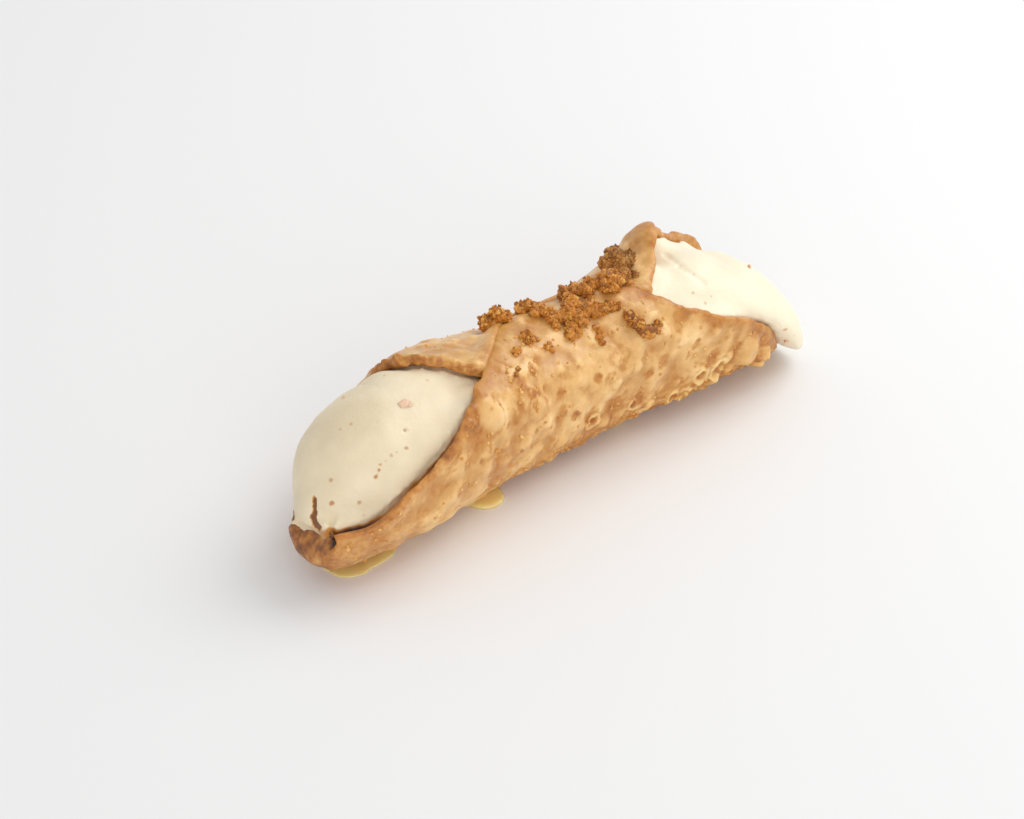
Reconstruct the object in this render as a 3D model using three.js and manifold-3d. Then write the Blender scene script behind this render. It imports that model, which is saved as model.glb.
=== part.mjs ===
// A cannolo: a round sheet of fried dough wrapped round a tube of cream, with crumble along its top.
// Millimetres, +Z up. It lies along X, with its low near mouth towards -X and the seam turned to -Y.
import * as THREE from 'three';
import { mergeVertices } from 'three/addons/utils/BufferGeometryUtils.js';
import Module from 'manifold-3d';

const { clamp, degToRad, euclideanModulo, seededRandom } = THREE.MathUtils;

// The wrapped sheet
const wall = 2.6; // pastry and glaze together
const gap = 0.3; // between the two flaps
const clearance = 0.35; // between neighbouring pieces
const rimClearance = 3; // times as much at the rim, where the bow is steep
const girthPerRadian = 17; // sheet that goes once round, divided by a full turn
const waistRadius = 16.9;
const waistX = 9;
const nearFlare = 4.4; // how much wider the near mouth is than the waist
const farFlare = 4;
const flareReach = 55; // from the waist to the full flare
const footCut = 0.5; // depth of the flat strip that it lies on
const rimReach = 0.96; // part of the sheet's radius where the rounded rim starts
const rimRings = 0.8; // share of the rings spent before the rim
const insideRise = 0.8; // height kept under the inner face, as a share of its depth
const sheetSegments = 56;
const sheetRings = 17;

// Distance from the sheet's middle to its border, every 15 degrees from the far tip
// round by the front flap, the near tip and the back flap
const sheetMiddle = { x: -2, girth: -4 };
const sheetReach = [80, 75.8, 67, 59, 61, 64.5, 61.5, 54, 52, 54.4, 67, 69.8, 68.8,
  66, 61.5, 51, 58.5, 63, 63, 64, 67, 66.4, 69.4, 81.4];
const cheek = { turn: degToRad(155.5), spread: degToRad(9.5), reach: 5.4 }; // front corner of the near tip

// The front flap rises over the back one between these two girths
const lapStart = 26;
const lapWidth = 13;

// The near end narrows, leans to the front and rises as a bow with a full belly
const narrowStart = 30;
const narrowLength = 38;
const narrowing = 6.5;
const frontLean = 8;
const bowStart = 60;
const bowLength = 11.2;
const bowRise = 13;
const bowPower = 2.6;
const bowSides = 0.3; // cosine past the sides at which the bow no longer lifts
const bowBelly = 4.4; // how far the belly of the bow stands out
const bellyPeak = 4; // brings a share times its remainder to 1 at the middle
const nearRounding = { start: 55, length: 17, amount: 3.8 };
const farRounding = { start: 58, length: 20, amount: 0.8 };
const toe = { start: 50, length: 20, amount: 1.3 }; // the near tip stands off the ground

// Soft dents and rises of the sheet, square to the tube
const lifts = [
  { x: 44.5, girth: -48, spread: 6, amount: 5 }, // a ridge stands up behind the far mouth
  { x: 61, girth: -37, spread: 9, amount: -3 }, // and the border curls down towards the cream
  { x: -46, girth: -42, spread: 15, amount: -4.2 }, // the back flap lies lower behind the near cream
  { x: -61, girth: -28, spread: 8, amount: 3.4 }, // and bulges round its side
  { x: -72, girth: -13, spread: 7, amount: -2.6 }, // the tip's back corner is drawn in
  { x: -60, girth: 12, spread: 9, amount: -1.8 }, // a shallow hollow under the tip's front
];
const cheekRise = { x: -69.5, girth: 30.5, spread: 6, amount: 3.4 }; // the tip's front corner, straight up

// Cream sections: along, centre across and up, half width, half height
const creamSections = [
  [-60, -6, 19.4, 15.2, 14.6], [-46, -3.2, 19.8, 16.9, 16.7], [-38, -1.2, 19.9, 17.6, 17.8],
  [-28, 0, 18.7, 16.6, 17], [-16, 0, 17.4, 14.6, 14.8], [9, 0, 16.4, 13.2, 13.2],
  [32, 0, 17.6, 14.6, 14.6], [43, -0.6, 17.6, 16.6, 15.4], [54, -1.2, 17.4, 18.2, 16.2],
  [62, -3.2, 15.7, 18.8, 14.2], [70, -7.4, 12, 17, 12.4],
];

// The cream is a tube between two blunt domes, each leaning to the front and drooping
const nearDome = { x: -44, toward: -1, length: 27.4, lean: -3, droop: 4.2 };
const farDome = { x: 62, toward: 1, length: 17.6, lean: -8, droop: 10.8 };
const creamSegments = 28;
const domeRings = 8;
const tubeRings = 14;

// Crumble: stops along each run of crumbs, as along, degrees round from straight down, and crumb radius
const lumpStep = 2.7;
const lumpLift = 0.3; // of a lump's radius, above the glaze
const lumpSpread = 0.3; // how unevenly large the lumps are
const crumbleSeed = 7;
const crumbleRuns = {
  crumble_heap: [
    [[3.6, 189, 2.7], [5.6, 171, 2.7], [5, 157, 2.5]],
    [[5.6, 168, 2.7], [9.5, 161, 3.1], [16, 158, 2.6], [18.5, 151, 2.1]],
    [[12, 164, 2.5], [14, 178, 2.4], [20, 172, 2.6], [24.5, 165, 2.5]],
    [[22, 170, 2.5], [27, 177, 2.7], [31.5, 187, 3.6], [35, 183, 3]],
  ],
  crumble_lone: [[[-7, 194, 2.4], [-5.2, 183, 2.7]]],
  crumble_crescent: [[[22.2, 146, 2.2], [22.8, 134, 2.4], [28, 131, 2.1]]],
};

const pastryFinish = { color: 0xc98a4b, roughness: 0.45 };
const creamFinish = { color: 0xeadfc3, roughness: 0.6 };
const crumbleFinish = { color: 0x8f5520, roughness: 0.9 };

const weldDistance = 1e-4;

const wasm = await Module();
wasm.setup();

function eased(t) {
  const s = clamp(t, 0, 1);
  return s * s * (3 - 2 * s);
}

// An amount that comes in over a length
function ramp(distance, { start, length, amount }) {
  return amount * eased((distance - start) / length);
}

// Closed smooth curve through evenly turned values
function reachAt(turn) {
  const count = sheetReach.length;
  const place = ((turn / (2 * Math.PI)) * count + count) % count;
  const from = Math.floor(place);
  const [a, b, c, d] = [-1, 0, 1, 2].map((step) => sheetReach[(from + step + count) % count]);
  const t = place - from;
  const square = 2 * a - 5 * b + 4 * c - d;
  const cube = 3 * (b - c) + d - a;
  const smooth = 0.5 * (2 * b + (c - a) * t + square * t ** 2 + cube * t ** 3);
  const off = euclideanModulo(turn - cheek.turn + Math.PI, 2 * Math.PI) - Math.PI;
  return smooth + cheek.reach * Math.exp(-((off / cheek.spread) ** 2));
}

function onSheet(turn, part) {
  const reach = reachAt(turn) * part;
  return { x: sheetMiddle.x + reach * Math.cos(turn), girth: sheetMiddle.girth + reach * Math.sin(turn) };
}

function isOnSheet(x, girth) {
  const turn = Math.atan2(girth - sheetMiddle.girth, x - sheetMiddle.x);
  return Math.hypot(girth - sheetMiddle.girth, x - sheetMiddle.x) < reachAt(turn);
}

// Largest at its own place on the sheet, fading all round
function softRise(x, girth, place) {
  const away = Math.hypot(x - place.x, girth - place.girth) / place.spread;
  return place.amount * Math.exp(-(away ** 2));
}

function tubeRadius(x) {
  const flare = x < waistX ? nearFlare : farFlare;
  return waistRadius + flare * eased(Math.abs(x - waistX) / flareReach);
}

// From the flat sheet to the wrapped one: depth is measured inwards from the outer face
function wrap(x, girth, depth) {
  const angle = girth / girthPerRadian;
  const low = clamp((Math.cos(angle) + bowSides) / (1 + bowSides), 0, 1);
  const near = eased((-x - narrowStart) / narrowLength);
  const lap = eased((girth - lapStart) / lapWidth) * (wall + gap);
  const lift = lifts.reduce((sum, place) => sum + softRise(x, girth, place), 0);
  const rounding = ramp(-x, nearRounding) + ramp(x, farRounding);
  const tube = tubeRadius(x) - narrowing * near - rounding;
  const radius = tube + lap + lift - depth;

  const bow = Math.max(0, (-x - bowStart) / bowLength);
  const bowed = Math.min(bow ** bowPower, 1);
  const belly = bowBelly * bellyPeak * bowed * (1 - bowed);
  const height = Math.max(tube - footCut - radius * Math.cos(angle), depth * insideRise);
  const raised = bowRise * bow ** bowPower * Math.sqrt(low) + ramp(-x, toe);
  return new THREE.Vector3(
    x + (depth * Math.min(bow, 1) - belly) * low,
    -radius * Math.sin(angle) - frontLean * near,
    height + raised + softRise(x, girth, cheekRise),
  );
}

// A ball rolled flat: its upper half becomes the outer face and its lower half the inner one
function wrappedSheet(grow) {
  const ball = new THREE.SphereGeometry(1, sheetSegments, 2 * sheetRings);
  const spot = ball.attributes.position;
  for (let i = 0; i < spot.count; i += 1) {
    const turn = Math.atan2(spot.getZ(i), spot.getX(i));
    const polar = Math.acos(clamp(spot.getY(i), -1, 1));
    const ring = 1 - Math.abs(polar / (Math.PI / 2) - 1);
    const edge = clamp((ring - rimRings) / (1 - rimRings), 0, 1);
    const part = Math.min(ring / rimRings, 1) * rimReach + edge * (1 - rimReach);
    const half = (wall / 2 + grow) * Math.sqrt(1 - edge ** 2);
    const side = polar < Math.PI / 2 ? -1 : 1;
    const { x, girth } = onSheet(turn, part + (grow * rimClearance * edge) / sheetReach[0]);
    spot.setXYZ(i, ...wrap(x, girth, wall / 2 + side * half));
  }
  return ball;
}

function toSolid(geometry) {
  const bare = geometry.clone();
  bare.deleteAttribute('normal');
  bare.deleteAttribute('uv');
  const welded = mergeVertices(bare, weldDistance);
  const triVerts = new Uint32Array(welded.index.array);
  const vertProperties = new Float32Array(welded.attributes.position.array);
  const solid = new wasm.Manifold(new wasm.Mesh({ numProp: 3, vertProperties, triVerts }));
  if (solid.volume() > 0) return solid;
  triVerts.reverse();
  return new wasm.Manifold(new wasm.Mesh({ numProp: 3, vertProperties, triVerts }));
}

function toMesh(name, solid, finish) {
  const pieces = solid.decompose().sort((a, b) => b.volume() - a.volume());
  const { vertProperties, triVerts } = pieces[0].getMesh();
  const geometry = new THREE.BufferGeometry();
  geometry.setAttribute('position', new THREE.BufferAttribute(vertProperties, 3));
  geometry.setIndex(new THREE.BufferAttribute(triVerts, 1));
  geometry.computeVertexNormals();
  const mesh = new THREE.Mesh(geometry, new THREE.MeshStandardMaterial(finish));
  mesh.name = name;
  return mesh;
}

const sectionSizes = creamSections.map((section) => section.slice(1));
const creamAt = new THREE.CubicInterpolant(
  creamSections.map((section) => section[0]),
  sectionSizes.flat(),
  sectionSizes[0].length,
  new Float64Array(sectionSizes[0].length),
);

// A ball drawn out along the tube through the cream's sections
function creamBody() {
  const rings = 2 * domeRings + tubeRings;
  const ball = new THREE.SphereGeometry(1, creamSegments, rings);
  const spot = ball.attributes.position;
  for (let i = 0; i < spot.count; i += 1) {
    const ring = (Math.acos(clamp(spot.getY(i), -1, 1)) / Math.PI) * rings;
    const turn = Math.atan2(spot.getZ(i), spot.getX(i));
    const dome = ring < rings / 2 ? nearDome : farDome;
    const bend = Math.min(Math.min(ring, rings - ring) / domeRings, 1) * (Math.PI / 2);
    const part = clamp((ring - domeRings) / tubeRings, 0, 1);
    const along = nearDome.x + (farDome.x - nearDome.x) * part;
    const [y, z, halfWidth, halfHeight] = creamAt.evaluate(along);
    const ahead = Math.cos(bend);
    spot.setXYZ(
      i,
      along + dome.toward * dome.length * ahead,
      y + halfWidth * Math.sin(bend) * Math.sin(turn) + dome.lean * ahead ** 2,
      z + halfHeight * Math.sin(bend) * Math.cos(turn) - dome.droop * ahead ** 2,
    );
  }
  return ball;
}

// Outside of the pastry at a place given by its turn round the tube
function onGlaze(x, degrees, height) {
  const front = degToRad(degrees) * girthPerRadian;
  const back = front - 2 * Math.PI * girthPerRadian;
  return wrap(x, isOnSheet(x, front) ? front : back, -height);
}

function crumbleLumps(run) {
  const lumps = [];
  run.slice(1).forEach((to, i) => {
    const from = run[i];
    const length = onGlaze(from[0], from[1], 0).distanceTo(onGlaze(to[0], to[1], 0));
    const steps = Math.max(1, Math.round(length / lumpStep));
    for (let step = i === 0 ? 0 : 1; step <= steps; step += 1) {
      const [x, degrees, size] = from.map((value, k) => value + ((to[k] - value) * step) / steps);
      const radius = size * (1 + lumpSpread * (seededRandom() - 0.5));
      const lump = new THREE.IcosahedronGeometry(radius, 1);
      lump.rotateX(degrees).rotateZ(x); // each lump turned its own way
      lump.translate(...onGlaze(x, degrees, radius * lumpLift));
      lumps.push(toSolid(lump));
    }
  });
  return lumps;
}

const pastry = toSolid(wrappedSheet(0));
const roomForPastry = toSolid(wrappedSheet(clearance));

seededRandom(crumbleSeed);
const group = new THREE.Group();
group.add(toMesh('pastry_shell', pastry, pastryFinish));
group.add(toMesh('cream_filling', toSolid(creamBody()).subtract(roomForPastry), creamFinish));
Object.entries(crumbleRuns).forEach(([name, runs]) => {
  const lumps = runs.flatMap(crumbleLumps);
  const heap = lumps.reduce((joined, lump) => joined.add(lump)).subtract(roomForPastry);
  group.add(toMesh(name, heap, crumbleFinish));
});

// The origin is under the middle of the whole, on the surface that it lies on
const bounds = new THREE.Box3().setFromObject(group);
const middle = bounds.getCenter(new THREE.Vector3());
group.position.set(-middle.x, -middle.y, -bounds.min.z);
group.updateMatrixWorld(true);

export default group;
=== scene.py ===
import math
from types import SimpleNamespace

import bpy
import numpy as np
from mathutils import Matrix, Vector, noise
from mathutils.bvhtree import BVHTree


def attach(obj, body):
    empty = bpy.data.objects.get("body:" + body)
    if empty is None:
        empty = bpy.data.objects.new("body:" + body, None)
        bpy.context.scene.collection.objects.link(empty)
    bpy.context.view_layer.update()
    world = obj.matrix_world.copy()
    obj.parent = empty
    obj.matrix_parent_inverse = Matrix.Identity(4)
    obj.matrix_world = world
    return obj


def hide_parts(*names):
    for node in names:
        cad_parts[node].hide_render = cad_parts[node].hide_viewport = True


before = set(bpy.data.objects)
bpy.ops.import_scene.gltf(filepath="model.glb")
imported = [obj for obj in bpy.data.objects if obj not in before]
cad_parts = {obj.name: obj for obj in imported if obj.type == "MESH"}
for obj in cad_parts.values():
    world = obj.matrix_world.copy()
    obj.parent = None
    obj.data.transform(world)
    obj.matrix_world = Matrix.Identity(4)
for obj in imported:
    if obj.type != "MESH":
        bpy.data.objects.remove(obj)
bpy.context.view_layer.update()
print("frame loaded")

mm = 0.001
partShift = np.array([-3.1376, 1.2515, 0.0])  # millimetres, from the modelling axes below to the frame's


def eased(value):
    t = np.clip(value, 0.0, 1.0)
    return t * t * (3 - 2 * t)


def ramp(value, start, length):  # 0 up to the start, then up to 1 over the length
    return eased((value - start) / length)


def fade(distance, width):  # 1 at nothing, 0 from the width on
    return 1 - eased(distance / width)


def within(value, band):  # rises from a start over a length, falls from an end over another
    start, rise, end, fall = band
    return ramp(value, start, rise) * fade(value - end, fall)


def about(value, middle, half, fading):  # 1 up to half a width from the middle, then it fades
    return fade(np.abs(value - middle) - half, fading)


def bump(distance, radius):  # round blister with a crisp foot
    return np.clip(1 - (distance / radius) ** 2, 0.0, None)


def toward(now, share, aim):  # moves a share of the way to the aim
    return now + share * (aim - now)


def rough(points, size, octaves=1, seed=0):  # smooth noise about -1..1 with features of one size
    apart, finer = 7.31, 2.1  # the step between seeds, how much smaller each octave is
    places = (points / size + seed * apart).tolist()
    if octaves == 1:
        return np.array([noise.noise(p) for p in places])
    return np.array([noise.fractal(p, 1.0, finer, octaves) for p in places])


def cells(points, size, seed=0):  # distances to the two nearest cell middles, and a number per cell
    apart, scramble = 5.17, (12.9898, 78.233, 37.719)
    near, second, mark = [], [], []
    for p in (points / size + seed * apart).tolist():
        gaps, middles = noise.voronoi(p)
        near.append(gaps[0])
        second.append(gaps[1])
        mark.append(sum(m * s for m, s in zip(middles[0], scramble)) % 1.0)
    return np.array(near), np.array(second), np.array(mark)


def flat(x, girth):  # sheet places as 3D points, for noise
    return np.stack([x, girth, np.zeros_like(x)], -1)


def ringPoints(turns, radius):  # turns as 3D points, for noise that closes on itself
    return np.stack([np.cos(turns) * radius, np.sin(turns) * radius, np.zeros_like(turns)], -1)


def through(keys, values, at):  # smooth curve through rows of values
    keys = np.asarray(keys, float)
    values = np.asarray(values, float)
    slopes = np.gradient(values, keys, axis=0)
    i = np.clip(np.searchsorted(keys, at) - 1, 0, len(keys) - 2)
    span = keys[i + 1] - keys[i]
    t = ((at - keys[i]) / span)[:, None]
    span = span[:, None]
    return (
        (2 * t**3 - 3 * t**2 + 1) * values[i]
        + (t**3 - 2 * t**2 + t) * span * slopes[i]
        + (3 * t**2 - 2 * t**3) * values[i + 1]
        + (t**3 - t**2) * span * slopes[i + 1]
    )


def loop(values, turn):  # smooth closed curve through evenly spread values
    values = np.array(values, float)
    count = len(values)
    place = (turn / (2 * np.pi) * count) % count
    start = np.floor(place).astype(int)
    t = place - start
    a, b, c, d = (values[(start + step) % count] for step in (-1, 0, 1, 2))
    return 0.5 * (2 * b + (c - a) * t + (2 * a - 5 * b + 4 * c - d) * t**2 + (3 * (b - c) + d - a) * t**3)


def ballFaces(rows, segments):  # pole, rows of a ring each, pole
    s = np.arange(segments)
    after = (s + 1) % segments
    faces = [(0, 1 + a, 1 + b) for a, b in zip(after.tolist(), s.tolist())]
    for row in range(rows - 1):
        top, low = 1 + row * segments, 1 + (row + 1) * segments
        faces += np.stack([top + s, top + after, low + after, low + s], -1).tolist()
    last, end = 1 + (rows - 1) * segments, 1 + rows * segments
    faces += [(end, last + a, last + b) for a, b in zip(s.tolist(), after.tolist())]
    return faces


def signedVolume(points, faces):
    triangles = np.array([f[:3] for f in faces] + [(f[0], f[2], f[3]) for f in faces if len(f) == 4])
    a, b, c = (points[triangles[:, k]] for k in range(3))
    return float(np.einsum("ij,ij->i", a, np.cross(b, c)).sum())


def addValues(mesh, name, values):
    layer = mesh.attributes.new(name, "FLOAT", "POINT")
    layer.data.foreach_set("value", np.ascontiguousarray(values, np.float32))


def linked(name, data):  # a new object in the scene
    item = bpy.data.objects.new(name, data)
    bpy.context.scene.collection.objects.link(item)
    return item


def makePiece(name, points, faces, attributes=None):  # points in millimetres on the modelling axes
    if signedVolume(points, faces) < 0:
        faces = [tuple(reversed(f)) for f in faces]
    mesh = bpy.data.meshes.new(name)
    mesh.from_pydata(((points + partShift) * mm).tolist(), [], faces)
    for key, values in (attributes or {}).items():
        addValues(mesh, key, values)
    mesh.polygons.foreach_set("use_smooth", np.ones(len(mesh.polygons), bool))
    mesh.update()
    return linked(name, mesh)


def readVertices(mesh, what):
    values = np.empty(len(mesh.vertices) * 3, np.float32)
    mesh.vertices.foreach_get(what, values)
    return values


def pushIn(piece, depths):  # along the normals, millimetres
    mesh = piece.data
    points, normals = readVertices(mesh, "co"), readVertices(mesh, "normal")
    mesh.vertices.foreach_set("co", points - normals * np.repeat(depths, 3).astype(np.float32) * mm)
    mesh.update()


def surfaceTree(piece):  # for finding where a ray meets a piece, or its nearest place
    mesh = piece.data
    corners = [v.co.copy() for v in mesh.vertices]
    return BVHTree.FromPolygons(corners, [tuple(p.vertices) for p in mesh.polygons])


def takeMesh(piece):  # modifiers into the mesh
    shape = piece.evaluated_get(bpy.context.evaluated_depsgraph_get())
    mesh = bpy.data.meshes.new_from_object(shape)
    piece.modifiers.clear()
    old = piece.data
    piece.data = mesh
    bpy.data.meshes.remove(old)
    return piece


def merged(name, parts, voxel, smoothing):  # closed shapes into one skin
    points, faces, base = [], [], 0
    for partPoints, partFaces in parts:
        if signedVolume(partPoints, [f for f in partFaces if len(f) < 5]) < 0:
            partFaces = [tuple(reversed(f)) for f in partFaces]
        points.append(partPoints)
        faces += [tuple(base + i for i in f) for f in partFaces]
        base += len(partPoints)
    piece = makePiece(name, np.concatenate(points), faces)
    remesh = piece.modifiers.new("merge", "REMESH")
    remesh.mode = "VOXEL"
    remesh.voxel_size = voxel * mm
    remesh.use_smooth_shade = True
    if smoothing:
        smooth = piece.modifiers.new("smooth", "SMOOTH")
        smooth.factor, smooth.iterations = 0.5, smoothing
    return takeMesh(piece)


def roundBall():  # points one unit from the middle, and triangles
    bpy.ops.mesh.primitive_ico_sphere_add(subdivisions=3, radius=1)
    ball = bpy.context.object
    points = np.array([v.co for v in ball.data.vertices])
    triangles = [tuple(p.vertices) for p in ball.data.polygons]
    bpy.data.objects.remove(ball)
    return points, triangles


def tint(red, green, blue):  # display values 0..255 to a linear colour
    def linear(c):
        c /= 255
        return c / 12.92 if c <= 0.04045 else ((c + 0.055) / 1.055) ** 2.4
    return (linear(red), linear(green), linear(blue), 1.0)


def setSocket(tree, socket, value):
    if isinstance(value, bpy.types.NodeSocket):
        tree.links.new(value, socket)
    else:
        socket.default_value = value


def addNode(tree, kind, inputs=None, **settings):
    node = tree.nodes.new(kind)
    for key, value in settings.items():
        setattr(node, key, value)
    for key, value in (inputs or {}).items():
        setSocket(tree, node.inputs[key], value)
    return node


def noiseNode(tree, size, detail=2.0, roughness=0.5, shift=0.0):  # size in millimetres
    spot = addNode(tree, "ShaderNodeTexCoord").outputs["Object"]
    place = (shift, shift * 0.7, shift * 1.3)
    moved = addNode(tree, "ShaderNodeMapping", {"Vector": spot, "Location": place})
    return addNode(tree, "ShaderNodeTexNoise", {
        "Vector": moved.outputs["Vector"], "Scale": 1 / (size * mm),
        "Detail": detail, "Roughness": roughness,
    }).outputs["Fac"]


def remap(tree, value, low, high, to=(0.0, 1.0)):
    return addNode(tree, "ShaderNodeMapRange", {
        "Value": value, "From Min": low, "From Max": high, "To Min": to[0], "To Max": to[1],
    }).outputs["Result"]


def blendColour(tree, share, first, second):
    node = addNode(tree, "ShaderNodeMix", data_type="RGBA")
    for number, value in ((0, share), (6, first), (7, second)):  # the colour sockets of this node
        setSocket(tree, node.inputs[number], value)
    return node.outputs[2]


def inSteps(tree, value, colour, steps):  # each step blends to its colour between two values
    for low, high, shade in steps:
        colour = blendColour(tree, remap(tree, value, low, high), colour, shade)
    return colour


def maths(tree, operation, first, second=0.0):
    return addNode(tree, "ShaderNodeMath", {0: first, 1: second}, operation=operation).outputs[0]


def centred(tree, value, amount):  # noise about nothing, times an amount
    return maths(tree, "MULTIPLY", maths(tree, "SUBTRACT", value, 0.5), amount)


def vectorMaths(tree, operation, inputs):
    return addNode(tree, "ShaderNodeVectorMath", inputs, operation=operation).outputs[0]


def attributeNode(tree, name):
    return addNode(tree, "ShaderNodeAttribute", attribute_name=name).outputs["Fac"]


def waxy(weight, depth, radii, coat, coatRoughness, **more):  # light goes in a little, with a thin gloss
    return {
        "Subsurface Weight": weight, "Subsurface Scale": depth * mm, "Subsurface Radius": radii,
        "Coat Weight": coat, "Coat Roughness": coatRoughness, **more,
    }


def newFinish(name, settings):  # a material with its Principled node and output
    material = bpy.data.materials.new(name)
    material.use_nodes = True
    tree = material.node_tree
    tree.nodes.clear()
    surface = addNode(tree, "ShaderNodeBsdfPrincipled", settings)
    addNode(tree, "ShaderNodeOutputMaterial", {"Surface": surface.outputs["BSDF"]})
    return material, tree, surface


def addGrain(tree, surface, height, strength, distance):  # fine bumps, distance in millimetres
    settings = {"Strength": strength, "Distance": distance * mm, "Height": height}
    setSocket(tree, surface.inputs["Normal"], addNode(tree, "ShaderNodeBump", settings).outputs["Normal"])


sheet = {
    "wall": 2.6, "flapGap": 0.3, "girthPerRadian": 17.0,
    "waistRadius": 16.9, "waistX": 9.0, "nearFlare": 4.4, "farFlare": 4.0, "flareReach": 55.0,
    "footCut": 0.5, "rimReach": 0.96, "insideRise": 0.8,
    "middle": (-2.0, -4.0),
    "reach": [  # from the middle to the border, every 15 degrees
        80, 75.8, 67, 59, 61, 64.5, 61.5, 54, 52, 54.4, 67, 69.8, 68.8, 66, 61.5, 51, 58.5, 63, 63, 64,
        67, 66.4, 69.4, 81.4,
    ],
    "cheek": (155.5, 9.5, 5.4),  # turn in degrees, spread, reach: the front corner of the near tip
    "lapStart": 26.0, "lapWidth": 13.0,
    "narrowStart": 30.0, "narrowLength": 38.0, "narrowing": 6.5, "frontLean": 8.0,
    "bowStart": 60.0, "bowLength": 11.2, "bowRise": 13.0, "bowPower": 2.6, "bowSides": 0.3, "bowBulge": 4.4,
    "nearRounding": (55.0, 17.0, 3.8), "farRounding": (58.0, 20.0, 0.8),  # start, length, amount
    "toe": (50.0, 20.0, 1.3),
    "lifts": [  # along, girth, spread, away from the tube's axis
        (44.5, -48.0, 6.0, 5.0), (-46.0, -42.0, 15.0, -4.2), (-61.0, -28.0, 8.0, 3.4),
        (-72.0, -13.0, 7.0, -2.6), (-60.0, 12.0, 9.0, -1.8), (61.0, -37.0, 9.0, -3.0),
    ],
    "raise": (-69.5, 30.5, 6.0, 3.4),  # the same, upwards: the front corner of the near tip
}
fullGirth = 2 * np.pi * sheet["girthPerRadian"]


def reachAt(turn):
    middle, spread, extra = sheet["cheek"]
    off = (turn - math.radians(middle) + np.pi) % (2 * np.pi) - np.pi
    return loop(sheet["reach"], turn) + extra * np.exp(-(off / math.radians(spread)) ** 2)


def sheetPlace(reach, turn):  # along and girth
    return sheet["middle"][0] + reach * np.cos(turn), sheet["middle"][1] + reach * np.sin(turn)


def borderGap(x, girth):  # millimetres to the sheet's border, negative off the sheet
    dx, dg = x - sheet["middle"][0], girth - sheet["middle"][1]
    return reachAt(np.arctan2(dg, dx)) - np.hypot(dx, dg)


def tubeRadius(x):
    flare = np.where(x < sheet["waistX"], sheet["nearFlare"], sheet["farFlare"])
    return sheet["waistRadius"] + flare * eased(np.abs(x - sheet["waistX"]) / sheet["flareReach"])


def along(distance, name):  # an amount that comes in over a length
    start, length, amount = sheet[name]
    return amount * ramp(distance, start, length)


def swell(x, girth, place):  # an amount that fades away from a place on the sheet
    cx, cg, spread, amount = place
    return amount * np.exp(-(np.hypot(x - cx, girth - cg) / spread) ** 2)


def wrap(x, girth, depth):  # from the flat sheet to the wrapped one, depth inwards from the outer face
    angle = girth / sheet["girthPerRadian"]
    low = np.clip((np.cos(angle) + sheet["bowSides"]) / (1 + sheet["bowSides"]), 0, 1)
    near = ramp(-x, sheet["narrowStart"], sheet["narrowLength"])
    lap = ramp(girth, sheet["lapStart"], sheet["lapWidth"]) * (sheet["wall"] + sheet["flapGap"])
    lift = sum(swell(x, girth, place) for place in sheet["lifts"])
    tube = tubeRadius(x) - sheet["narrowing"] * near - along(-x, "nearRounding") - along(x, "farRounding")
    radius = tube + lap + lift - depth
    bow = np.maximum(0, (-x - sheet["bowStart"]) / sheet["bowLength"])
    height = np.maximum(tube - sheet["footCut"] - radius * np.cos(angle), depth * sheet["insideRise"])
    rise = bow ** sheet["bowPower"]
    belly = 4 * np.minimum(rise, 1) * (1 - np.minimum(rise, 1))
    bowed = sheet["bowRise"] * rise * np.sqrt(low)
    return np.stack([
        x + (depth * np.minimum(bow, 1) - sheet["bowBulge"] * belly) * low,
        -radius * np.sin(angle) - sheet["frontLean"] * near,
        height + bowed + along(-x, "toe") + swell(x, girth, sheet["raise"]),
    ], -1)


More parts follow.
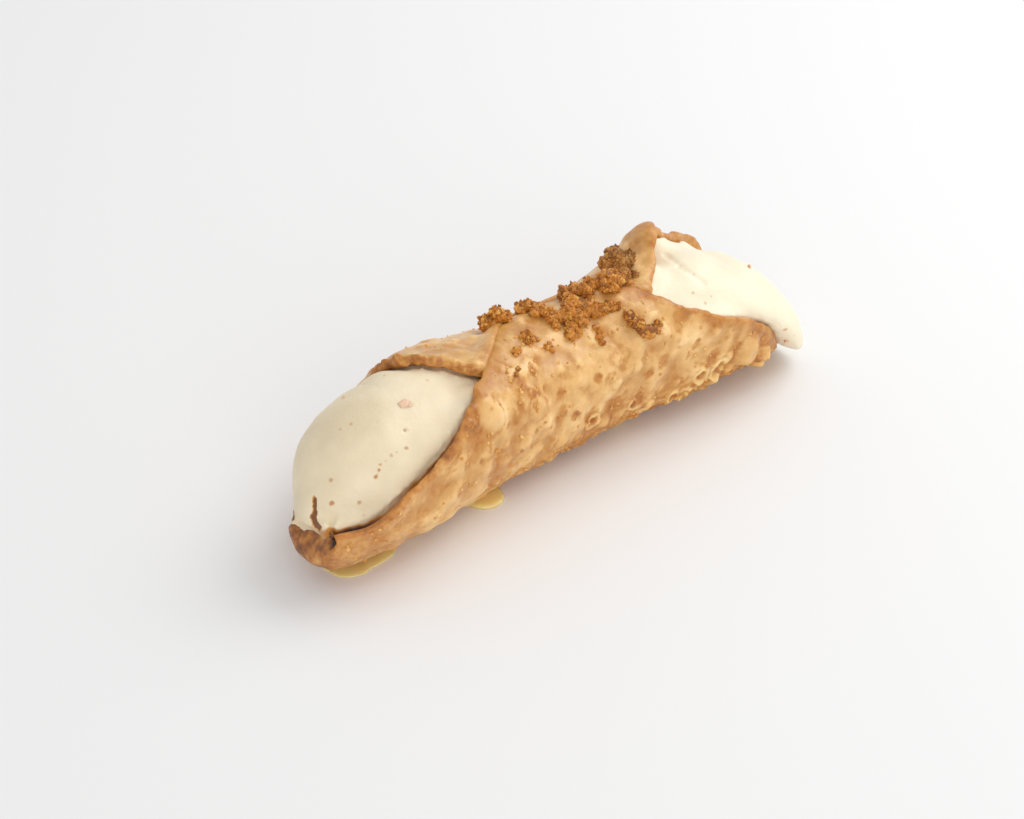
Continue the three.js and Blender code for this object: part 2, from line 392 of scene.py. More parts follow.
pastry = {
    "segments": 720, "middleRows": 8, "faceRows": 104, "rimRows": 11, "insideRows": 9, "hiddenRows": 4,
    "middleReach": 0.22, "insideReach": 0.72, "hiddenReach": 0.1,  # shares of the reach
    "crowding": 0.8,  # under 1 brings the rows closer towards the rim
    "raggedness": 0.9, "raggedRadius": 60, "raggedNoise": (5, 3, 9), "raggedFrom": 0.86,
    "steepTip": (-62, 8, 0.25),  # along, length, what is left there of the raggedness
    "raggedLip": (229, 12, 8, 1.2),  # turn, half width, fading, extra: more along the back lip
    "textures": {  # size, octaves, seed
        "lumps": (6.4, 2, 2), "swells": (19, 1, 7), "grainy": (2.4, 2, 3), "fine": (1.1, 1, 4),
        "patches": (9, 2, 15), "hollows": (4.2, 2, 8), "coarse": (3, 2, 12),
    },
    "foldNoise": (4.4, 1, 1), "foldStretch": 0.4, "foldsLeft": (2, 30), "innerNoise": (2.2, 2, 11),
    "flank": (8, 12, 36, 14), "bareFront": (2, 6, 15, 11), "bareBack": (8, 6, 22, 12),  # bands of girth
    "bareAlong": (-34, 34), "lipAlong": (14, 8), "seamGirth": (30, 8), "thinGirth": (38, 6),
    "rindGirth": (12, 10), "rindAlong": (26, 10), "tipAlong": (63.5, 3),  # start, length
    "nearBrown": (46, 12, 0.75), "endBrown": (60, 8, 0.22),  # start, length, amount
    "under": (-1, 7, 6), "lip": (-52, 8, 6), "tipGirth": (-3, 12, 4), "thinAlong": (-12, 22, 8),
    "crumbsGirth": (44, 0, 7), "crumbsAlong": (8, 18, 12),  # middle, half width, fading
    "mixes": {  # how much of each texture goes into what
        "relief": {"folds": 0.95, "lumps": 0.65, "swells": 0.85, "grainy": 0.1, "fine": 0.04},
        # bloom lifts raised folds and lumps as painted highlights, beside real patchy glaze; low darkens
        # their low places as painted shade
        "bloom": {"level": 0.34, "folds": 0.65, "lumps": 0.5, "grainy": 0.25, "patches": -0.25},
        "low": {"folds": -1.3, "lumps": -0.9, "level": -0.1},
        "tanned": {"patches": 1, "fine": 0.4},
        "hollow": {"hollows": 1, "fine": 0.3},
        "crustToast": {"level": 0.3, "grit": 0.3, "grainy": 0.3},
        "bubbleRelief": {"domes": 1.05, "grainy": 0.18, "fine": 0.09},
        "borderToast": {"level": 0.2, "grainy": 0.35, "fine": 0.15},
        "borderRelief": {"level": 0.18, "fine": 0.25, "grainy": 0.25},
        "lipToast": {"level": 0.1, "coarse": -0.12, "fine": 0.2},
        "lipRelief": {"level": 0.5, "coarse": 1.5, "grainy": 0.5, "fine": 0.3},
        "lipBloomAndHighlight": {"level": 0.5, "coarse": 1},
        "rindRelief": {"grit": 0.45, "coarse": 0.8, "grainy": 0.3},
        "rindToast": {"level": 0.1, "grainy": 0.2, "fine": 0.15},
        "nearToast": {"level": 0.54, "grainy": 0.25, "fine": 0.1},
        "tipToast": {"level": 0.7, "grainy": 0.35, "fine": 0.2},
        "tipRelief": {"grit": 0.35, "grainy": 0.25},
        "glaze": {"level": 1, "bare": -0.7, "tip": -0.85, "hollow": -0.45, "border": -0.3, "crusty": -0.5},
        "gritty": {"level": 0.06, "hollow": 0.5, "bare": 0.3, "rind": 0.9, "crusty": 1},
    },
    "smallBlisters": {"size": 4.8, "seed": 1, "height": 0.55, "bloom": 0.35, "ring": 0.14},
    "grit": {"size": 1.5, "seed": 5},
    "bubbles": {
        "size": 3.5, "seed": 2, "squash": (0.85, 1, 1), "popped": (0.8, 0.08), "hole": 1.35, "darkening": 0.6,
    },
    "blisters": [  # along, girth, radius, height
        (-26.9, 36.3, 3.5, 0.75), (-12.2, 34.4, 2.6, 0.7), (-15.9, 27.2, 2, 0.6),
        (-36.5, 30.5, 2.2, 0.5), (-41, 24, 2.9, 0.6), (-48, 21.5, 2.6, 0.5), (-21, 24.5, 1.6, 0.5),
        (-7.5, 27, 1.5, 0.45), (55.5, 21.6, 4.4, 2.3), (62, 17, 3.6, 2.2), (51, 17.5, 1.9, 0.9),
        (49, 22.8, 1.7, 0.7), (46.3, 17.2, 2, 1), (10.5, 21.5, 2.4, 0.9), (25.5, 20, 2.1, 0.8),
        (33, 22.5, 1.5, 0.6), (-3, 22.5, 1.8, 0.5), (3, 30.5, 2.4, 0.45), (67.5, 14, 2.4, 0.7),
        (20, 36, 4.5, 0.5),
    ],
    "blisterBloomAndHighlight": 0.62,
    "holes": [  # along, girth, radius, depth
        (7, 23.4, 1.3, 1.2), (46.2, 20.8, 1.5, 1.3), (40.6, 21.8, 1.2, 1.1), (36.6, 17.2, 1.3, 1),
        (33.2, 18, 1.1, 0.9), (38.6, 17.6, 0.9, 0.8), (19.5, 22.8, 0.9, 0.6),
    ],
    "crusts": [  # along, girth, radius: grainy browner places
        (-15.4, 39.4, 3.2), (-17.2, 36, 1.3), (-19.3, 33.6, 1.4), (-9.5, 41.5, 1.6), (-6.5, 43, 1.2),
        (-30.6, 28.1, 0.9), (-12.5, 29.2, 0.8), (-8.5, 37.5, 0.7), (-13, 35, 1.6), (13.5, 25.6, 3.4),
        (21, 24, 2.4), (31.2, 46.2, 2.4), (38, 31, 1.6), (57, 27.5, 2.6), (5.5, 26, 2.2),
        (-3.9, 35.4, 1.7), (0.5, 28.5, 1.8), (28, 31, 2), (43.5, 25, 2.4), (-12.5, 37.6, 1.3),
        (-5, 29.5, 1.5), (24, 30, 1.6), (36, 38, 1.5), (8, 35, 1.4),
    ],
    "panel": (-66.5, 24, 5),  # along, girth, radius: smooth amber glaze beside the bare tip
    "panelToast": 0.46, "panelBloom": 0.4,
    "tipHoles": [(-70.9, -17.3, 16.8, 1.6, 1.7), (-70.4, 0.4, 20.4, 0.8, 0.8)],  # x, y, z, radius, depth
    "seamFill": (2.3, 5.0),  # height and width of the glaze run into the seam
    "mostToast": 0.72,  # away from the near tip
}


def pastrySkin(x, girth, depth):  # places on the sheet with the textures that the steps below share
    skin = SimpleNamespace(x=x, girth=girth, spot=wrap(x, girth, depth), gap=borderGap(x, girth), level=1.0)
    for name, shape in pastry["textures"].items():
        setattr(skin, name, rough(skin.spot, *shape))
    skin.flank = within(girth, pastry["flank"])
    folds = rough(flat(x, girth * pastry["foldStretch"]), *pastry["foldNoise"])
    skin.folds = folds * (0.15 + 0.85 * skin.flank) * (0.3 + 0.7 * ramp(-x, *pastry["foldsLeft"]))
    skin.under = about(girth, *pastry["under"])
    front = within(girth, pastry["bareFront"]) * ramp(x, *pastry["bareAlong"])
    back = within(-girth, pastry["bareBack"]) * 0.8
    skin.bare = np.clip(front + back, 0, 1)  # low down on the flanks, where the dough is full of bubbles
    return skin


def mix(skin, name):  # textures in the shares given for it
    return sum(share * getattr(skin, texture) for texture, share in pastry["mixes"][name].items())


def partly(now, share, lost, added):  # loses a part of what it was and takes on an amount
    return now * (1 - lost * share) + added * share


def fromPlace(skin, x, girth, squash, waver):  # distance with an uneven outline
    return np.hypot(skin.x - x, (skin.girth - girth) * squash) * (1 + waver * skin.grainy)


def addSmallBlisters(skin):  # scattered in the glaze, tops painted lighter as highlights, with a painted shade ring round the foot
    look = pastry["smallBlisters"]
    near, _, mark = cells(skin.spot, look["size"], look["seed"])
    some = ramp(mark, 0.5, 0.25)
    dome = some * fade(near - 0.06, 0.3 + 0.22 * mark)
    skin.relief += dome * look["height"]
    skin.bloom += dome * look["bloom"]
    skin.toast += some * look["ring"] * fade(np.abs(near - 0.36), 0.2)


def addCrusts(skin):  # grainy, in the hollows and at their own places
    look = pastry["grit"]
    near, _, mark = cells(skin.spot, look["size"], look["seed"])
    skin.grit = fade(near, 0.55) * (0.4 + 0.6 * mark)
    crust = np.zeros(len(skin.x))
    for x, girth, radius in pastry["crusts"]:
        crust = np.maximum(crust, fade(fromPlace(skin, x, girth, 1, 0.5) - radius * 0.35, radius * 0.9))
    hollow = 0.55 * ramp(mix(skin, "hollow"), 0.2, 0.35) * (0.35 + 0.65 * skin.flank)
    skin.hollow = np.maximum(hollow, crust)
    skin.relief += skin.hollow * (0.34 * skin.grit - 0.3) + 0.2 * crust * skin.grit
    skin.toast += skin.hollow * mix(skin, "crustToast") + 0.25 * crust * (0.4 + skin.grit)
    skin.bloom -= skin.hollow * 0.3


def addBubbles(skin):  # on the bare dough, some of them popped; tops painted lighter as highlights, the creases between them darker as painted shade
    look = pastry["bubbles"]
    near, second, mark = cells(skin.spot * look["squash"], look["size"], look["seed"])
    skin.domes = bump(near, 0.62) * (0.35 + 0.75 * mark)
    popped = skin.bare * ramp(mark, *look["popped"]) * fade(near - 0.06, 0.3)
    skin.relief += skin.bare * mix(skin, "bubbleRelief") - popped * look["hole"]
    skin.bloom += skin.bare * (0.7 * skin.domes - 0.25) - popped * look["darkening"]
    between = fade(second - near, 0.2)
    skin.toast += skin.bare * (0.2 + 0.35 * skin.grainy + 0.3 * between) + popped * look["darkening"]


def addBlisters(skin):
    for x, girth, radius, height in pastry["blisters"]:
        away = fromPlace(skin, x, girth, 1, 0.12)
        dome = fade(away - radius * 0.3, radius * 0.85)
        ring = fade(np.abs(away - radius * 1.15), 1) * (1 + skin.grainy)
        clear = min(2 * (height - 0.4), 0.65)  # the high ones stand out in colour as well, with tops painted lighter as highlights and a painted shade ring round the foot
        skin.relief += height * dome
        skin.bloom = toward(skin.bloom, clear * dome, pastry["blisterBloomAndHighlight"])
        skin.toast += clear * (0.36 * ring - 0.5 * dome)


def addHoles(skin):
    for x, girth, radius, depth in pastry["holes"]:
        away = fromPlace(skin, x, girth, 0.85, 0.25)
        mouth = fade(away - radius * 0.35, radius * 0.8)
        rim = fade(np.abs(away - radius * 1.35), radius * 0.75)
        ring = fade(np.abs(away - radius * 1.9), radius * 0.5)
        skin.relief += 0.5 * rim - 1.3 * depth * mouth
        skin.bloom += 0.6 * rim - 0.8 * mouth
        skin.toast += 0.5 * mouth - 0.3 * rim + 0.25 * ring


def addBorder(skin):  # browner and crumbly, with a crust on the thick back lip whose raised coarse lumps are painted lighter as highlights
    skin.border = fade(skin.gap - 0.4, 3.4)
    crumbly = fade(skin.gap - 0.2, 2.4)
    lip = about(skin.girth, *pastry["lip"]) * ramp(-skin.x, *pastry["lipAlong"])
    skin.crusty = fade(skin.gap - 0.8, 3.4) * lip
    skin.toast += skin.border * mix(skin, "borderToast") + 0.12 * crumbly
    skin.toast += skin.crusty * mix(skin, "lipToast")
    skin.relief += crumbly * mix(skin, "borderRelief") + skin.crusty * mix(skin, "lipRelief")
    skin.bloom += skin.crusty * mix(skin, "lipBloomAndHighlight") - 0.2 * skin.border


def fillSeam(skin):  # glaze run into the seam that the front flap makes with the back one, its valley painted darker as shade
    height, width = pastry["seamFill"]
    beyond = -borderGap(skin.x, skin.girth + fullGirth)
    filled = np.where(beyond > 0, fade(beyond - 0.2, width), fade(-beyond, 1.2))
    filled *= ramp(-skin.girth, *pastry["seamGirth"])
    skin.relief = partly(skin.relief, filled, 1, height)
    skin.toast = partly(skin.toast, filled, 0.7, 0.3)


def shapeFrontEdge(skin):  # thin in the middle, a grainy rim beside the near mouth
    thin = ramp(skin.girth, *pastry["thinGirth"]) * about(skin.x, *pastry["thinAlong"])
    thin *= fade(skin.gap, 4.5)
    skin.relief = partly(skin.relief, thin, 0.6, -0.7)
    skin.toast = partly(skin.toast, thin, 0.5, 0.08)
    rind = ramp(skin.girth, *pastry["rindGirth"]) * ramp(-skin.x, *pastry["rindAlong"])
    skin.rind = fade(skin.gap - 1.2, 3.6) * rind * (1 - thin)
    skin.relief += skin.rind * mix(skin, "rindRelief")
    skin.toast += skin.rind * mix(skin, "rindToast")


def brownNearTip(skin):  # caramel around it, and a bare browned patch on its end
    middle, half, fading = pastry["tipGirth"]
    skin.tip = ramp(2.2 * skin.grainy - skin.x, *pastry["tipAlong"])
    skin.tip *= about(skin.girth, middle, half + 4 * skin.grainy, fading)
    start, length, browning = pastry["nearBrown"]
    end, over, more = pastry["endBrown"]
    toast = np.minimum(skin.toast, pastry["mostToast"])
    share = browning * ramp(-skin.x, start, length) * (1 - skin.tip)
    toast = toward(toast, share, mix(skin, "nearToast")) + more * ramp(-skin.x, end, over) * (1 - skin.tip)
    skin.toast = partly(toast, skin.tip, 0.7, mix(skin, "tipToast"))
    skin.relief += skin.tip * mix(skin, "tipRelief")


def smoothPanel(skin):
    x, girth, radius = pastry["panel"]
    panel = fade(fromPlace(skin, x, girth, 0.7, 0) - radius * 0.5, radius * 0.7)
    skin.toast = partly(skin.toast, panel, 1, pastry["panelToast"])
    skin.bloom = partly(skin.bloom, panel, 1, pastry["panelBloom"])
    skin.relief *= 1 - 0.6 * panel


def finish(x, girth, depth=0.0):  # relief in millimetres, then toast (browning, with painted shade), glaze, bloom (with painted highlights) and gritty from 0 up
    skin = pastrySkin(x, girth, depth)
    skin.relief, skin.bloom = mix(skin, "relief"), mix(skin, "bloom")
    # painted shade in the low places of folds and lumps, and real patchy browning
    skin.toast = 0.12 + 0.4 * np.clip(mix(skin, "low"), 0, 1) + 0.2 * np.clip(mix(skin, "tanned"), 0, 1)
    steps = (addSmallBlisters, addCrusts, addBubbles, addBlisters, addHoles, addBorder, fillSeam,
             shapeFrontEdge, brownNearTip, smoothPanel)
    for step in steps:
        step(skin)
    skin.relief *= 1 - skin.under
    skin.glaze = np.clip(mix(skin, "glaze"), 0, 1)
    crumbs = about(girth, *pastry["crumbsGirth"]) * about(x, *pastry["crumbsAlong"])  # fallen from the heap
    gritty = mix(skin, "gritty") + 0.5 * crumbs
    gritty *= ramp(skin.gap, 0.3, 0.5) * (1 - skin.under) * ramp(skin.grainy, -0.25, 0.5)
    skin.gritty, skin.toast = np.clip(gritty, 0, 1), np.clip(skin.toast, 0, 1.6)
    skin.bloom = np.clip(skin.bloom, 0, 1)
    return skin


def sheetRows():  # share of the reach and side (1 outer face, -1 inner face) of each row
    rim = sheet["rimReach"]
    start, inside, hidden = pastry["middleReach"], pastry["insideReach"], pastry["hiddenReach"]
    outer = np.concatenate([
        np.linspace(0, start, pastry["middleRows"] + 1)[1:],
        start + (rim - start) * np.linspace(0, 1, pastry["faceRows"] + 1)[1:] ** pastry["crowding"],
    ])
    around = np.linspace(math.pi / 2, -math.pi / 2, pastry["rimRows"] + 2)[1:-1]
    inner = np.concatenate([
        np.linspace(rim, inside, pastry["insideRows"]),
        np.linspace(inside, hidden, pastry["hiddenRows"] + 1)[1:],
    ])
    parts = np.concatenate([outer, rim + (1 - rim) * np.cos(around), inner])
    sides = np.concatenate([np.ones(len(outer)), np.sin(around), -np.ones(len(inner))])
    return parts, sides


def raggedEdge(turn, part, ragged):  # millimetres added to the reach, only close to the border
    tip, length, left = pastry["steepTip"]
    middle, half, fading, extra = pastry["raggedLip"]
    steady = left + (1 - left) * ramp(reachAt(turn) * np.cos(turn), tip, length)
    steady += extra * about(np.degrees(turn), middle, half, fading)
    start = pastry["raggedFrom"]
    return ragged * pastry["raggedness"] * ramp(part, start, 1 - start) * steady


def tipHoles(points):  # how far open, painted near black as the shade inside, and how deep
    shadedOpening, depths = np.zeros(len(points)), np.zeros(len(points))
    for *spot, radius, depth in pastry["tipHoles"]:
        mouth = fade(np.linalg.norm(points - spot, axis=1) - radius * 0.4, radius * 0.7)
        shadedOpening, depths = np.maximum(shadedOpening, mouth), np.maximum(depths, depth * mouth)
    return shadedOpening, depths


def makeShell():
    parts, sides = sheetRows()
    turns = np.linspace(0, 2 * np.pi, pastry["segments"], endpoint=False)
    ragged = rough(ringPoints(turns, pastry["raggedRadius"]), *pastry["raggedNoise"])
    turn, part = np.tile(turns, len(parts)), np.repeat(parts, len(turns))
    reach = reachAt(turn) * part + raggedEdge(turn, part, np.tile(ragged, len(parts)))
    x, girth = sheetPlace(np.concatenate([[0], reach, [0]]), np.concatenate([[0], turn, [0]]))
    side = np.concatenate([[1], np.repeat(sides, len(turns)), [-1]])
    deep = sheet["wall"] / 2 * (1 - side)
    skin = finish(x, girth, deep)
    outward = (1 + side) / 2
    inward = 1 - outward
    uneven = 0.2 * rough(flat(x, girth), *pastry["innerNoise"]) * inward
    points = wrap(x, girth, deep - skin.relief * outward + uneven)
    points[:, 2] = np.maximum(points[:, 2], 0.0)
    shadedOpening, depths = tipHoles(points)
    innerToastAndShade = 0.25 + 0.45 * ramp(-x, 20, 20)  # browner towards the near mouth: painted shade in the crevice beside the cream
    shell = makePiece("pastryShell", points, ballFaces(len(parts), len(turns)), {
        # the tip holes' openings are darkened as painted shade inside them
        "toast": skin.toast * (0.35 + 0.65 * outward) + innerToastAndShade * inward + 1.5 * shadedOpening,
        "glaze": skin.glaze * outward, "bloom": skin.bloom * outward + 0.3 * inward,
        "gritty": skin.gritty * (side > 0.99),
    })
    pushIn(shell, depths * (side > -0.5))
    return shell


pastryPaint = {
    "surface": waxy(0.3, 1.8, (1.0, 0.45, 0.18), 0.3, 0.25, IOR=1.45),
    # size, detail, roughness and shift, as noiseNode takes them
    "mottle": (3.2, 3.0, 0.6), "spots": (1.3, 3.0, 0.65, 0.4), "pores": (0.4, 2.0, 0.6, 1.1),
    "mottling": 0.7, "spotting": 0.8, "roughness": (0.6, 0.36), "bumpiness": (1.7, 0.9),  # bare, glazed
    "glaze": tint(206, 152, 84),
    "glazeSteps": [(0.05, 0.5, tint(230, 182, 114)), (0.5, 1.05, tint(248, 210, 150))],
    "dough": tint(206, 144, 52), "doughSteps": [(0.05, 0.9, tint(246, 204, 118))],
    # browner steps, which also paint the shade carried in the toast values
    "toastSteps": [
        (0.22, 0.62, tint(194, 126, 50)), (0.62, 1.0, tint(134, 76, 24)), (1.1, 1.5, tint(58, 30, 12)),
    ],
}


def pastryFinish():
    paint = pastryPaint
    material, tree, surface = newFinish("glazedPastry", paint["surface"])
    toast, glaze, bloom = (attributeNode(tree, name) for name in ("toast", "glaze", "bloom"))
    mottle, spots, pores = (noiseNode(tree, *paint[name]) for name in ("mottle", "spots", "pores"))
    lifted = maths(tree, "ADD", bloom, centred(tree, mottle, paint["mottling"]))
    brownedAndShaded = maths(tree, "ADD", toast, centred(tree, spots, paint["spotting"]))
    glazed = inSteps(tree, lifted, paint["glaze"], paint["glazeSteps"])
    dough = inSteps(tree, lifted, paint["dough"], paint["doughSteps"])
    colour = inSteps(tree, brownedAndShaded, blendColour(tree, glaze, dough, glazed), paint["toastSteps"])
    setSocket(tree, surface.inputs["Base Color"], colour)
    setSocket(tree, surface.inputs["Roughness"], remap(tree, glaze, 0.0, 1.0, paint["roughness"]))
    height = maths(tree, "ADD", maths(tree, "MULTIPLY", spots, 0.6), maths(tree, "MULTIPLY", pores, 0.3))
    height = maths(tree, "MULTIPLY", height, remap(tree, glaze, 0.0, 1.0, paint["bumpiness"]))
    addGrain(tree, surface, height, 0.7, 0.4)
    return material


shellPiece = makeShell()
shellPiece.data.materials.append(pastryFinish())
print("shell made", len(shellPiece.data.polygons))


cream = {
    "segments": 260, "nearRows": 112, "farRows": 96,
    "between": ((-44, -18, 56), (-18, 32, 12), (32, 62, 64)),  # from, to, rows
    "sections": [  # along, centre across and up, half width, half height
        (-60, -6, 19.4, 15.2, 14.6), (-46, -3.2, 19.8, 16.9, 16.7), (-38, -1.2, 19.9, 17.6, 17.8),
        (-28, 0, 18.7, 16.6, 17), (-16, 0, 17.4, 14.6, 14.8), (9, 0, 16.4, 13.2, 13.2),
        (32, 0, 17.6, 14.6, 14.6), (43, -0.6, 17.6, 16.6, 15.4), (54, -1.2, 17.4, 18.2, 16.2),
        (62, -3.2, 15.7, 18.8, 14.2), (70, -7.4, 12, 17, 12.4),
    ],
    "nearDome": (27.4, -3.0, 4.2), "farDome": (17.6, -8.0, 10.8),  # length, lean to the side, droop
    "waves": [(14.0, 2, 21, 0.5), (4.5, 2, 22, 0.16), (1.3, 1, 23, 0.03)],  # size, octaves, seed, height
    "pulls": [  # x, y, z, spread, amount: drawn in beside the rim
        (-70.5, 1, 18.5, 5.5, 1.5), (-67, -19.5, 18.2, 4, 2.4),
    ],
    "roomToShell": 0.2, "reachOut": 5.0, "settle": 16, "settling": 96, "groove": (0.9, 7),  # depth, steps
    "crevices": [  # x, y, z, spread, more depth
        (-60, -19, 19, 8, 1.9), (-40, -17.5, 28.5, 11, 1.7), (-67, -17.5, 17.5, 3, 1.2),
    ],
    "overRim": (-66.0, 6.0, 13.5, 2.5),  # where the groove starts and over which length, along and sideways
    "close": (56.0, 8.0, 12.5, 4.0, 0.7),  # the same for where it stays close over the tip, and how much
    "mergeSize": 0.38, "smoothing": 6,
    "thinWithin": 0.6, "thinTo": 0.5,  # fewer faces this close to the shell
}


def creamSpine(x):
    table = np.array(cream["sections"], float)
    return through(table[:, 0], table[:, 1:], x)


def creamRays():  # centre and outermost point for each row and segment
    turns = np.linspace(0, 2 * np.pi, cream["segments"], endpoint=False)
    between = cream["between"]
    first, last = between[0][0], between[-1][1]
    stops = [np.linspace(start, end, count, endpoint=False) for start, end, count in between]
    bend = np.linspace(0, math.pi / 2, cream["nearRows"] + 1)[1:-1]
    farBend = np.linspace(math.pi / 2, 0, cream["farRows"] + 1)[1:-1]
    rows = [(first, -1, *cream["nearDome"], b) for b in bend]
    rows += [(stop, 0, 0, 0, 0, math.pi / 2) for stop in np.concatenate([*stops, [last]])]
    rows += [(last, 1, *cream["farDome"], b) for b in farBend]
    x, side, length, lean, droop, bend = np.repeat(np.array(rows, float).T, len(turns), axis=1)
    turn = np.tile(turns, len(rows))
    across, up, halfWidth, halfHeight = creamSpine(x).T
    ahead = np.cos(bend) ** 2
    spoke = np.stack([
        side * length * np.cos(bend),
        halfWidth * np.sin(bend) * np.sin(turn) + lean * ahead,
        halfHeight * np.sin(bend) * np.cos(turn) - droop * ahead,
    ], -1)
    return np.stack([x, across, up], -1), spoke, len(rows)


def neighbours(grid):  # the four beside each place, closed round the tube
    padded = np.pad(grid, ((1, 1), (0, 0)), mode="edge")
    return padded[:-2], padded[2:], np.roll(grid, 1, 1), np.roll(grid, -1, 1)


def stepsFrom(start, most):  # steps over the grid to the nearest place where the start is 0
    for _ in range(most):
        start = np.minimum(start, 1 + np.minimum.reduce(neighbours(start)))
    return start


def nearSpot(points, spot):  # an amount that fades away from a place
    x, y, z, spread, amount = spot
    return amount * np.exp(-(np.linalg.norm(points - (x, y, z), axis=1) / spread) ** 2)


def roomInside(centre, way, full):  # along each ray to the pastry's inner face, endless where it meets none
    wall = surfaceTree(shellPiece)
    room = np.full(len(full), np.inf)
    starts = ((centre + partShift) * mm).tolist()
    for i, (start, ray, length) in enumerate(zip(starts, way.tolist(), full.tolist())):
        gap = wall.ray_cast(Vector(start), Vector(ray), (length + cream["reachOut"]) * mm)[3]
        if gap is not None:
            room[i] = gap / mm - cream["roomToShell"]
    return room


def rollDown(size, held, points):  # into a groove beside the rim, but at the near tip it lies over the rim
    depth, width = cream["groove"]
    tip, over, front, frontOver = cream["overRim"]
    inside = stepsFrom(np.where(held, width, 0), width)
    apart = np.maximum(ramp(points[:, 0], tip, over), ramp(-points[:, 1], front, frontOver))
    depth = depth + sum(nearSpot(points, spot) for spot in cream["crevices"]).reshape(size.shape)
    return size - np.where(held, depth * fade(inside, width), 0) * apart.reshape(size.shape)


def comeAway(size, free, held, points):  # above the rim it leaves the pastry smoothly
    relaxed = size.copy()
    for _ in range(cream["settling"]):
        relaxed = np.where(held, size, sum(neighbours(relaxed)) / 4)
    settle = cream["settle"]
    share = eased(stepsFrom(np.where(held, 0, settle), settle) / settle)
    tip, over, front, frontOver, amount = cream["close"]
    close = ramp(-points[:, 0], tip, over) * fade(-points[:, 1] - front, frontOver)
    share = share ** (1 - amount * close).reshape(size.shape)
    return np.where(held, size, relaxed * (1 - share) + free * share)


def makeCream():
    centre, spoke, rows = creamRays()
    full = np.linalg.norm(spoke, axis=1)
    way = spoke / full[:, None]
    points = centre + spoke
    for *wave, height in cream["waves"]:
        full = full + height * rough(points, *wave)
    full -= sum(nearSpot(points, spot) for spot in cream["pulls"])
    room = roomInside(centre, way, full).reshape(rows, -1)
    free, held = full.reshape(rows, -1), np.isfinite(room)
    size = rollDown(np.where(held, room, free), held, points)
    size = comeAway(size, free, held, points)
    points = centre + way * size.reshape(-1, 1)
    segments = cream["segments"]
    first, last = points[:segments].mean(0), points[-segments:].mean(0)
    return np.concatenate([[first], points, [last]]), ballFaces(rows, segments)


creamPaint = {
    "surface": waxy(0.4, 1.5, (1.0, 0.85, 0.65), 0.1, 0.3, Roughness=0.5),
    "mottle": (12.0, 2.0, 0.5, 2.0), "spots": (0.8, 2.0, 0.6, 3.0),  # as in noiseNode
    # painted light and shade: the near end gets darker tints and the far end lighter ones, as the light
    # falls more on the far end
    "mottling": (0.35, 0.65), "near": (tint(239, 224, 193), tint(227, 210, 177)),
    "far": (tint(252, 241, 214), tint(247, 233, 206)),
    # specks, the bare streak and the stain with painted crevice shade, darker as the value rises
    "speckAndShadeSteps": [
        (0.1, 0.9, tint(188, 120, 30)), (1.0, 1.4, tint(128, 78, 34)), (1.5, 1.9, tint(62, 33, 14)),
    ],
}


def creamFinish():
    paint = creamPaint
    material, tree, surface = newFinish("ricottaCream", paint["surface"])
    mottle = remap(tree, noiseNode(tree, *paint["mottle"]), *paint["mottling"])
    near, far = (blendColour(tree, mottle, *paint[end]) for end in ("near", "far"))
    # painted light: the tints go lighter towards the far end
    colour = blendColour(tree, attributeNode(tree, "paintedFarLight"), near, far)
    colour = inSteps(tree, attributeNode(tree, "speckAndShade"), colour, paint["speckAndShadeSteps"])
    setSocket(tree, surface.inputs["Base Color"], colour)
    addGrain(tree, surface, noiseNode(tree, *paint["spots"]), 0.35, 0.3)
    return material


overflow = {  # cream lying over the rim of the near tip, turns in degrees
    "from": 163.5, "to": 190.0, "columns": 120, "rows": 30, "inside": 90.0,
    "thick": 1.1, "thin": 0.35, "thinning": (0.25, 0.75), "gap": 0.12, "endRounding": 0.3,
    "hang": 0.3, "leastHang": 0.05, "waver": (4.0, 2, 41), "wavering": 0.4,
    "tongues": [(179.3, 0.6, 1.2), (167.5, 0.7, 1.3), (174.0, -0.2, 2.0)],  # turn, length, spread
}


def overflowHang(degrees, ends):  # how far it hangs over the rim
    waver = rough(flat(degrees, np.zeros_like(degrees)), *overflow["waver"])
    hang = overflow["hang"] * (1 + overflow["wavering"] * waver)
    for middle, length, width in overflow["tongues"]:
        hang += length * np.exp(-((degrees - middle) / width) ** 2)
    return np.maximum(hang, overflow["leastHang"]) * ends


def makeOverflow():  # once over the rim from inside to outside, then back underneath
    columns, rows = overflow["columns"], overflow["rows"]
    degrees = np.linspace(overflow["from"], overflow["to"], columns)
    ends = np.sin(np.linspace(0, np.pi, columns)) ** overflow["endRounding"]
    walk = np.concatenate([np.linspace(0, 1, rows), np.linspace(1, 0, rows)[1:-1]])
    count = len(walk)
    turn, hang, ends = (np.tile(v, count) for v in (np.radians(degrees), overflowHang(degrees, ends), ends))
    upper = np.repeat(np.arange(count) < rows, columns)
    walk = np.repeat(walk, columns)

    reach, rim, half = reachAt(turn), sheet["rimReach"], sheet["wall"] / 2
    start = -math.radians(overflow["inside"])
    around = start + (np.arccos(1 - np.clip(hang / (reach * (1 - rim)), 0, 1)) - start) * walk
    begin, over = overflow["thinning"]
    thick = overflow["thin"] + (overflow["thick"] - overflow["thin"]) * fade(walk - begin, over)
    rounded = (0.4 + 0.6 * ends) * np.clip((1 - walk) / 0.1, 0, 1) ** 0.5
    body = overflow["gap"] + np.where(upper, thick * rounded, 0)
    x, girth = sheetPlace(reach * rim + (reach * (1 - rim) + body) * np.cos(around), turn)
    relief = finish(x, girth).relief * (1 + np.sin(around)) / 2
    points = wrap(x, girth, half - (half + body) * np.sin(around) - relief)

    row, column = (v.ravel() for v in np.mgrid[:count, :columns - 1])
    a, b = row * columns + column, (row + 1) % count * columns + column
    faces = [tuple(f) for f in np.stack([a, a + 1, b + 1, b], -1).tolist()]
    faces.append(tuple(r * columns for r in range(count))[::-1])
    faces.append(tuple(r * columns + columns - 1 for r in range(count)))
    return points, faces


